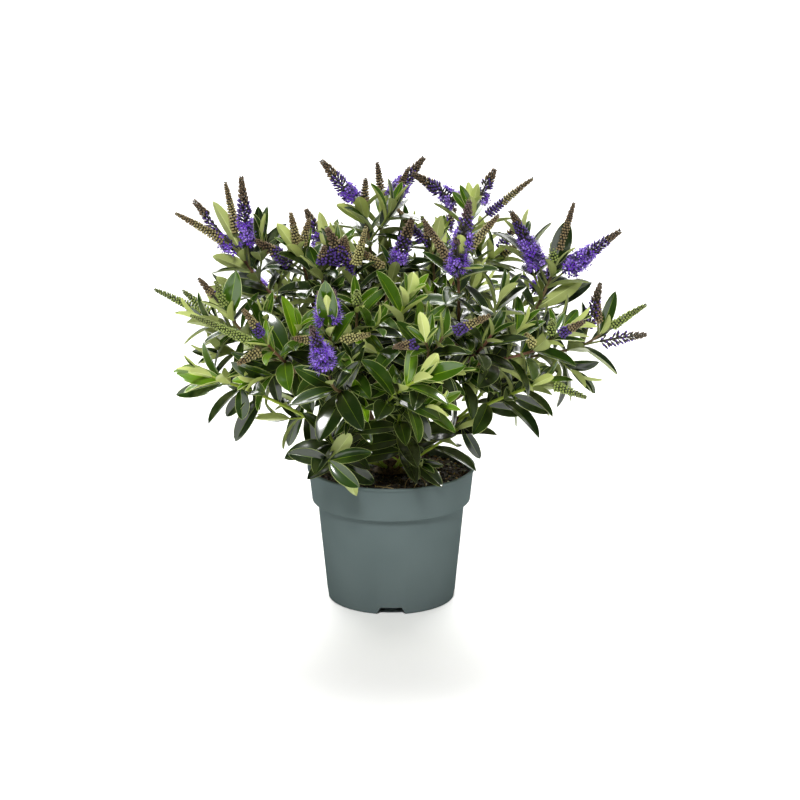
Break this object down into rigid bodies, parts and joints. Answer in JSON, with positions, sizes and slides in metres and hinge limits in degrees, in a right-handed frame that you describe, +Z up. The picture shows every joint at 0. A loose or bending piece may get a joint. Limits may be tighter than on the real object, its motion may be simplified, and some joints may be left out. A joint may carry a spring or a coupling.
{
  "type": "hebe shrub",
  "caption": "Bushy evergreen hebe shrub with paired lance-shaped leaves and purple flower spikes, standing in a round grey-green plastic nursery pot.",
  "frame": {"origin": "centre of the pot's flat underside", "axes": "+Z up, -Y towards the front of the shrub, +X to the right seen from the front"},
  "size_m": [0.4909, 0.4311, 0.4432],
  "materials": {
    "pot_plastic": "matte moulded grey-green plastic",
    "potting_mix": "loose dark peat and bark grains",
    "bark": "smooth brown twig bark",
    "foliage": "leathery leaves and small flowers"
  },
  "bodies": {
    "root": {"pot": "pot_plastic", "soil": "potting_mix", "trunk": "bark", "bough_back_left": "bark", "bough_back_right": "bark", "bough_front_left": "bark", "bough_front_right": "bark", "bough_left": "bark", "bough_left_low": "bark", "bough_left_upper": "bark", "bough_middle": "bark", "bough_right": "bark", "bough_right_low": "bark", "bough_right_upper": "bark", "bough_top_left": "bark", "bough_top_right": "bark", "mass_back_left": "foliage", "mass_back_low_left": "foliage", "mass_back_low_right": "foliage", "mass_back_middle": "foliage", "mass_back_right": "foliage", "mass_back_top_left": "foliage", "mass_back_top_right": "foliage", "mass_far_left": "foliage", "mass_far_right": "foliage", "mass_foot_front": "foliage", "mass_foot_left": "foliage", "mass_foot_middle": "foliage", "mass_foot_right": "foliage", "mass_front_bloom": "foliage", "mass_front_bright": "foliage", "mass_front_bud": "foliage", "mass_front_leaf": "foliage", "mass_front_low_right": "foliage", "mass_front_pale": "foliage", "mass_front_right": "foliage", "mass_left_fan": "foliage", "mass_left_inner": "foliage", "mass_left_low": "foliage", "mass_left_mid": "foliage", "mass_left_under": "foliage", "mass_middle": "foliage", "mass_middle_left": "foliage", "mass_middle_right": "foliage", "mass_right_bloom": "foliage", "mass_right_front": "foliage", "mass_right_low": "foliage", "mass_right_mid": "foliage", "mass_right_under": "foliage", "mass_right_upper": "foliage", "mass_top_behind": "foliage", "mass_top_centre": "foliage", "mass_top_left": "foliage", "mass_top_mid": "foliage", "mass_top_right": "foliage", "mass_upper_left": "foliage"}
  },
  "joints": []
}
